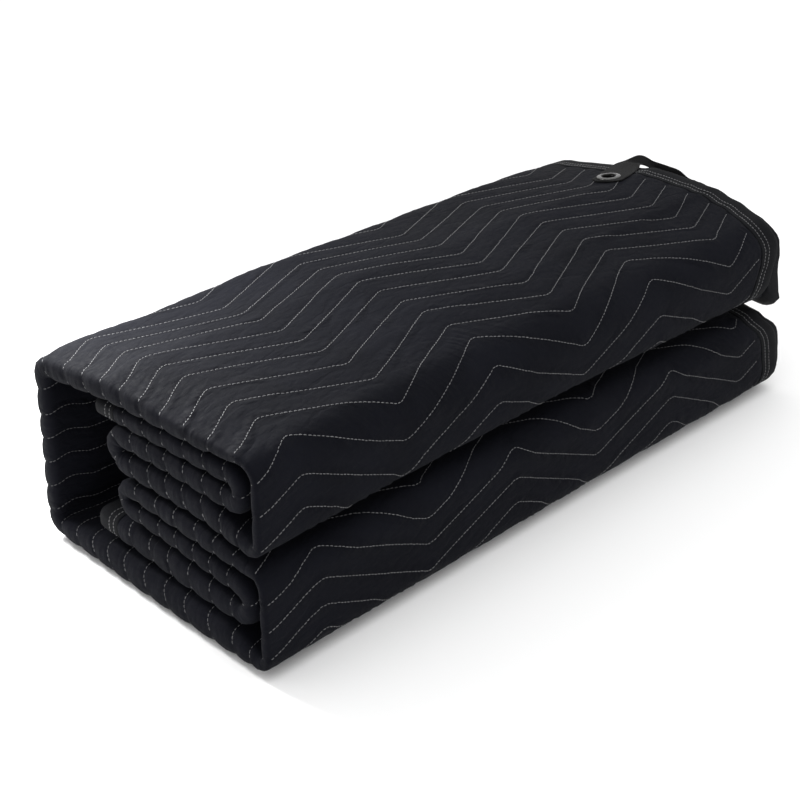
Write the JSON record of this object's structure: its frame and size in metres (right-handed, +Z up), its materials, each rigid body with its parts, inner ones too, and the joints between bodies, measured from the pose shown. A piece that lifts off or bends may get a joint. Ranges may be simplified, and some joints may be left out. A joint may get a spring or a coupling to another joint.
{
  "type": "folded sound dampening blanket",
  "caption": "Quilted sound dampening blanket folded into a long two-lobed pack, with a bound hem, a webbing hanging loop and a metal eyelet",
  "frame": {"origin": "middle of the folded pack's box, on the surface it lies on", "axes": "+X along the long folds towards the hems and the hanging loop, +Y towards the closed spine, +Z up"},
  "size_m": [0.6861, 0.2988, 0.1968],
  "materials": {
    "quilted_cloth": "matte woven polyester, quilted in zigzag rows with pale thread",
    "edge_binding": "matte folded edge tape with two rows of pale stitches",
    "webbing": "matte woven webbing",
    "eyelet_metal": "nickel plated, softly polished"
  },
  "bodies": {
    "root": {"blanket": "quilted_cloth", "binding": "edge_binding", "hanging_loop": "webbing", "eyelet": "eyelet_metal"}
  },
  "joints": []
}
